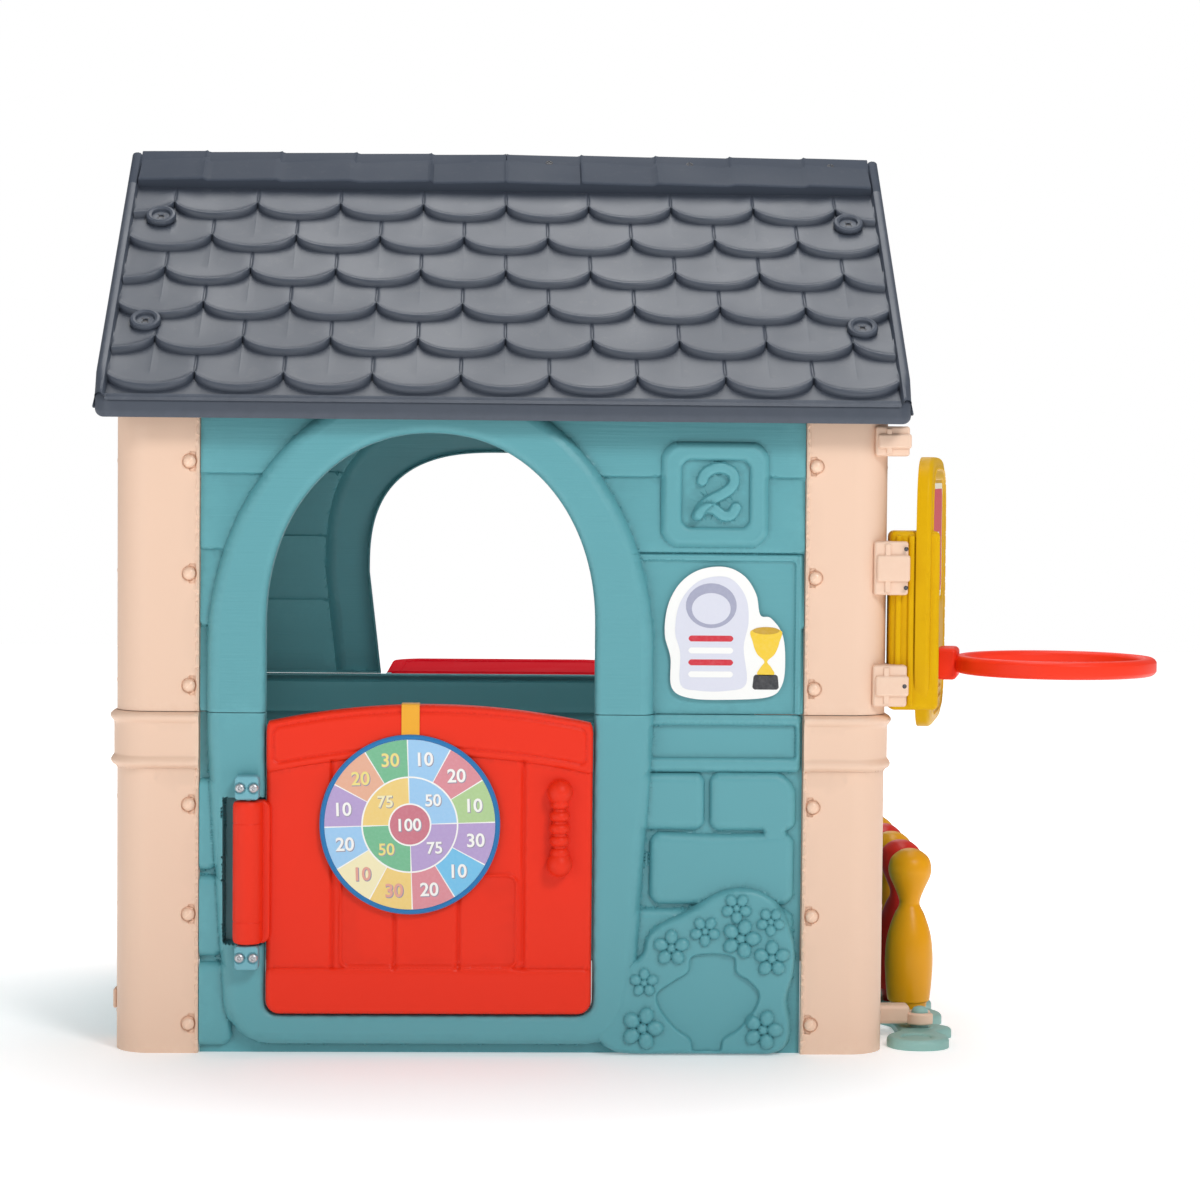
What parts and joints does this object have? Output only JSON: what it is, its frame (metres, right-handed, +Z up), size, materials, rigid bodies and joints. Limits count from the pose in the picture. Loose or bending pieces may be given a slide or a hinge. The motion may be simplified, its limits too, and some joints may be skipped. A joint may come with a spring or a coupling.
{
  "type": "playhouse",
  "caption": "Small plastic playhouse with a tiled gable roof, arched doorway and half door, windows, fold-down rear counter, basketball hoop and bowling set.",
  "frame": {"origin": "on the ground, at the middle of the front wall's outer face", "axes": "+Z up, +X to the right and -Y outwards as seen by a person facing the front door"},
  "size_m": [1.4438, 1.194, 1.24],
  "materials": {
    "wall_teal": "satin moulded polyethylene, fine grain",
    "column_cream": "satin moulded polyethylene, fine grain",
    "bolt_cream": "smooth moulded cap bolt",
    "roof_slate": "satin moulded polyethylene, fine grain",
    "roof_screw_grey": "moulded screw in the roof's grey",
    "door_red": "semi-gloss moulded polyethylene",
    "counter_red": "semi-gloss moulded polyethylene",
    "bracket_blue": "satin moulded plastic",
    "steel": "zinc-plated steel",
    "toy_yellow": "semi-gloss moulded polyethylene",
    "skittle_red": "semi-gloss moulded polyethylene",
    "hoop_orange": "semi-gloss moulded polyethylene",
    "base_teal": "satin moulded polyethylene",
    "dartboard_cloth": "printed felt-faced cloth with a sewn blue binding",
    "strap_webbing": "woven webbing",
    "sticker": "printed vinyl label"
  },
  "bodies": {
    "root": {"lower_front_wall": "wall_teal", "upper_front_wall": "wall_teal", "lower_back_wall": "wall_teal", "upper_back_wall": "wall_teal", "lower_left_wall": "wall_teal", "upper_left_wall": "wall_teal", "lower_right_wall": "wall_teal", "upper_right_wall": "wall_teal", "lower_column_front_left": "column_cream", "lower_column_front_right": "column_cream", "lower_column_rear_left": "column_cream", "lower_column_rear_right": "column_cream", "upper_column_front_left": "column_cream", "upper_column_front_right": "column_cream", "upper_column_rear_left": "column_cream", "upper_column_rear_right": "column_cream", "bolts_front_left": "bolt_cream", "bolts_front_right": "bolt_cream", "bolts_rear_left": "bolt_cream", "bolts_rear_right": "bolt_cream", "roof_front": "roof_slate", "roof_rear": "roof_slate", "roof_screws": "roof_screw_grey", "gable_left": "wall_teal", "gable_right": "wall_teal", "hinge_pin": "steel", "upper_hinge_bracket": "bracket_blue", "lower_hinge_bracket": "bracket_blue", "hinge_screws": "steel", "counter_pin": "steel", "counter_brackets": "wall_teal", "counter_bracket_screws": "steel", "backboard": "toy_yellow", "hoop": "hoop_orange", "top_clip": "column_cream", "middle_clip": "column_cream", "lower_clip": "column_cream", "clip_screws": "steel", "accessory_arm": "column_cream", "left_hook": "column_cream", "bowling_base": "base_teal"},
    "door": {"door": "door_red", "strap_loop": "strap_webbing"},
    "dartboard": {"dartboard": "dartboard_cloth", "dartboard_strap": "strap_webbing"},
    "counter": {"counter": "counter_red"},
    "skittle_1": {"skittle_1": "toy_yellow"},
    "skittle_2": {"skittle_2": "skittle_red"},
    "skittle_3": {"skittle_3": "toy_yellow"},
    "skittle_4": {"skittle_4": "skittle_red"},
    "skittle_5": {"skittle_5": "toy_yellow"},
    "skittle_6": {"skittle_6": "skittle_red"}
  },
  "joints": [
    {"name": "door_swing", "type": "hinge", "parent": "root", "child": "door", "pos_m": [-0.336, -0.035, 0.25], "axis": [0, 0, -1], "range_deg": [0, 105]},
    {"name": "dartboard_lift", "type": "hinge", "parent": "door", "child": "dartboard", "pos_m": [-0.122, -0.031, 0.471], "axis": [-1, 0, 0], "range_deg": [0, 60]},
    {"name": "counter_fold", "type": "hinge", "parent": "root", "child": "counter", "pos_m": [0, 0.787, 0.446], "axis": [1, 0, 0], "range_deg": [0, 90]},
    {"name": "skittle_1_lift", "type": "slide", "parent": "root", "child": "skittle_1", "axis": [0, 0, 1], "range_m": [0, 0.15]},
    {"name": "skittle_2_lift", "type": "slide", "parent": "root", "child": "skittle_2", "axis": [0, 0, 1], "range_m": [0, 0.15]},
    {"name": "skittle_3_lift", "type": "slide", "parent": "root", "child": "skittle_3", "axis": [0, 0, 1], "range_m": [0, 0.15]},
    {"name": "skittle_4_lift", "type": "slide", "parent": "root", "child": "skittle_4", "axis": [0, 0, 1], "range_m": [0, 0.15]},
    {"name": "skittle_5_lift", "type": "slide", "parent": "root", "child": "skittle_5", "axis": [0, 0, 1], "range_m": [0, 0.15]},
    {"name": "skittle_6_lift", "type": "slide", "parent": "root", "child": "skittle_6", "axis": [0, 0, 1], "range_m": [0, 0.15]}
  ]
}
